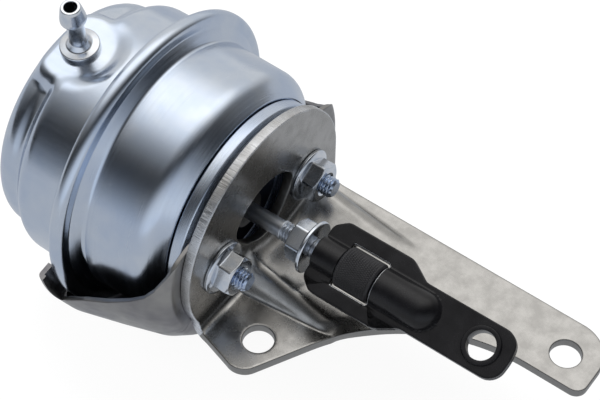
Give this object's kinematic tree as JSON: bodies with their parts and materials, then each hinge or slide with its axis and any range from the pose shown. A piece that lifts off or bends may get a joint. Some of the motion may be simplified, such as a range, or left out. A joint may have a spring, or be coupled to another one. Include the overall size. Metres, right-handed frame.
{
  "type": "turbo actuator",
  "caption": "Vacuum canister on an angled steel bracket; its sprung rod drives a threaded black link with a bored eye, to move a turbocharger's vane lever.",
  "frame": {"origin": "midpoint of the line between the two mounting holes, on the underside of the bracket's arm", "axes": "+X along the rod from the canister out to the link's eye; +Z square to the bracket's arm, out of its upper face; +Y across, towards the far mounting hole"},
  "size_m": [0.1672, 0.0987, 0.1054],
  "materials": {
    "zinc_plate": "bright zinc plate over drawn sheet steel, streaky and faintly blue",
    "nipple_zinc": "bright zinc plate over turned steel",
    "diaphragm_rubber": "dull black rubber on fabric",
    "pressed_steel": "plain drawn steel",
    "spring_steel": "oiled spring wire",
    "rod_zinc": "zinc-plated rolled and threaded bar",
    "guide_bronze": "oil-soaked bearing bronze",
    "ring_zinc": "bluish zinc plate over a turned ring",
    "stud_zinc": "bluish zinc plate on rolled thread",
    "nut_zinc": "bright zinc plate",
    "bracket_steel": "plain satin steel plate, faintly mottled, with bright sheared edges",
    "cradle_steel": "dark satin pressed steel",
    "link_black": "gloss black coat over stamped steel",
    "adjuster_black": "matt black coat over a knurled nut"
  },
  "bodies": {
    "canister": {"cap_shell": "zinc_plate", "base_shell": "zinc_plate", "hose_nipple": "nipple_zinc", "diaphragm": "diaphragm_rubber", "return_spring": "spring_steel", "rod_guide": "guide_bronze", "base_ring": "ring_zinc", "stud_near": "stud_zinc", "stud_far": "stud_zinc", "flange_nut_near": "nut_zinc", "flange_nut_far": "nut_zinc", "bracket": "bracket_steel", "support_cradle": "cradle_steel"},
    "rod": {"rod": "rod_zinc", "piston_cup": "pressed_steel", "retainer_plate": "pressed_steel"},
    "lock_nut": {"lock_nut": "nut_zinc"},
    "link": {"link_upper_half": "link_black", "link_lower_half": "link_black", "eye_bush": "link_black"},
    "adjuster": {"adjuster_nut": "adjuster_black"}
  },
  "joints": [
    {"name": "rod_stroke", "type": "slide", "parent": "canister", "child": "rod", "axis": [1, 0, 0], "range_m": [-0.011, 0], "stiffness_N_per_m": 4000, "springref_m": 0.02, "deforming": ["return_spring", "diaphragm"]},
    {"name": "lock_turn", "type": "hinge", "parent": "rod", "child": "lock_nut", "pos_m": [-0.03815, 0.00105, 0.0204], "axis": [1, 0, 0], "continuous": true},
    {"name": "link_adjust", "type": "slide", "parent": "rod", "child": "link", "axis": [1, 0, 0], "range_m": [-0.0015, 0.0015]},
    {"name": "adjuster_turn", "type": "hinge", "parent": "link", "child": "adjuster", "pos_m": [-0.01915, 0.00105, 0.0204], "axis": [1, 0, 0], "range_deg": [-540, 540]}
  ],
  "couplings": [
    {"joint": "adjuster_turn", "follows": "link_adjust", "rad_per_m": 6283.2}
  ]
}
